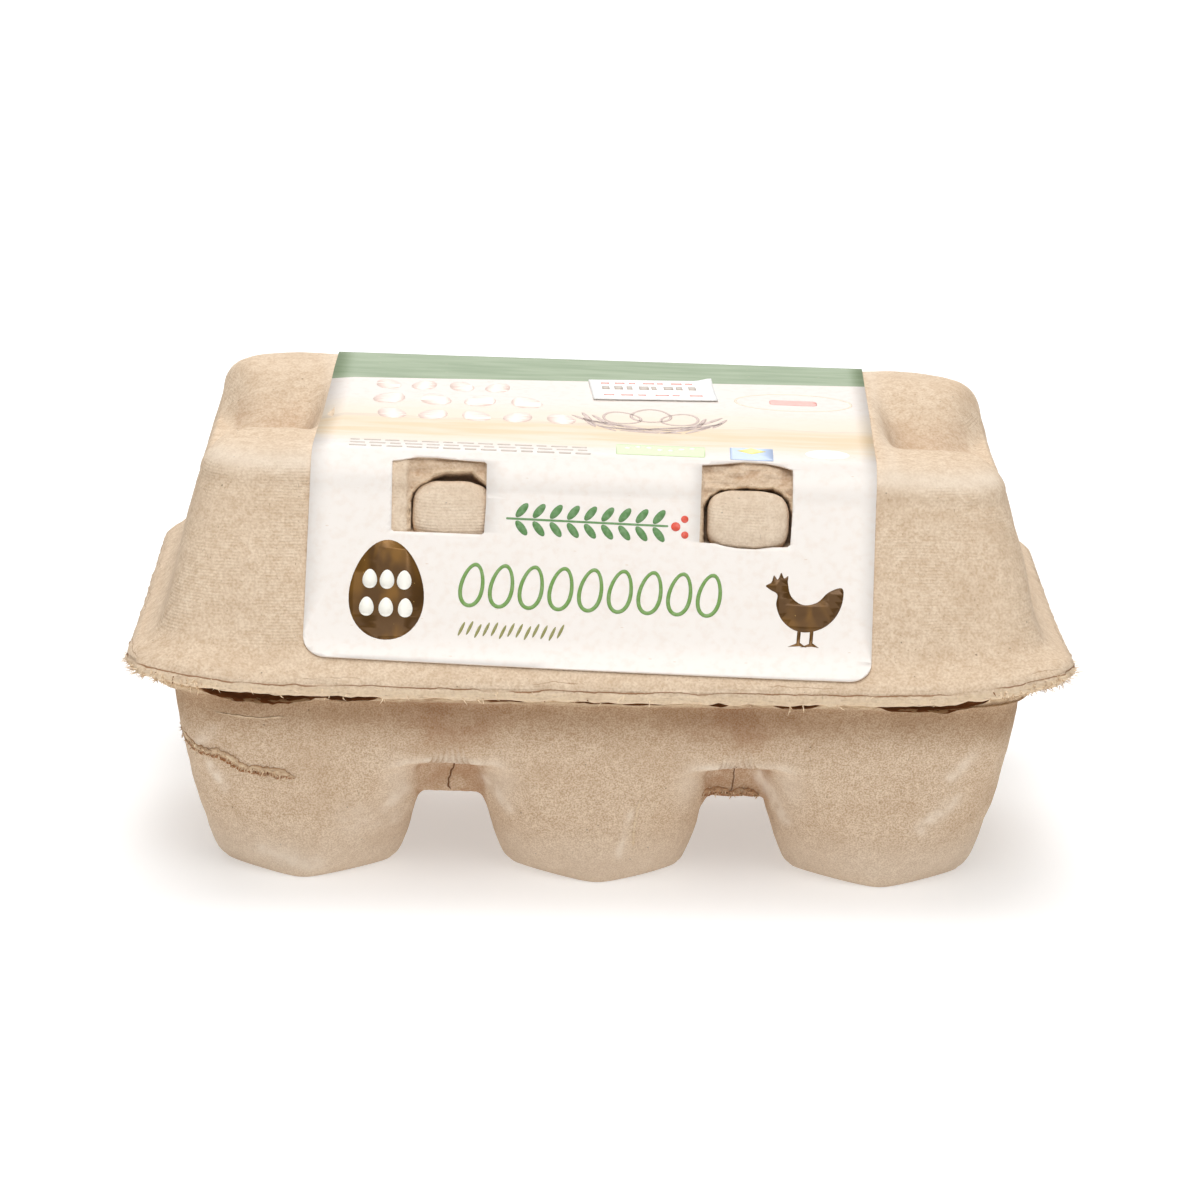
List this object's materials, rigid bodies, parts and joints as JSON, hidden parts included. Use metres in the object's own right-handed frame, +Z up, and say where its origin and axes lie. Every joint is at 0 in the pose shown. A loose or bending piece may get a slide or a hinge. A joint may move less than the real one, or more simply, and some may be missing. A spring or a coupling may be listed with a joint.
{
  "type": "closed egg carton",
  "caption": "Shut moulded-pulp egg carton with a domed, notched lid, two latch knobs in windows and a paper label over the front and top.",
  "frame": {"origin": "under the middle of the carton, on the plane that its feet stand on", "axes": "+X along the carton's length to the right as seen from the latches, +Y from the latches to the fold at the back, +Z up"},
  "size_m": [0.153, 0.1041, 0.0731],
  "materials": {
    "pulp_tray": "matte, fibrous, greyer brown",
    "pulp_lid": "matte, fibrous, with fine screen lines",
    "label_paper": "satin printed label paper",
    "sticker_paper": "satin white sticker"
  },
  "bodies": {
    "root": {"tray": "pulp_tray", "lid": "pulp_lid", "latch_left": "pulp_lid", "latch_right": "pulp_lid", "label": "label_paper", "date_sticker": "sticker_paper", "hinge_fold": "pulp_tray"}
  },
  "joints": []
}
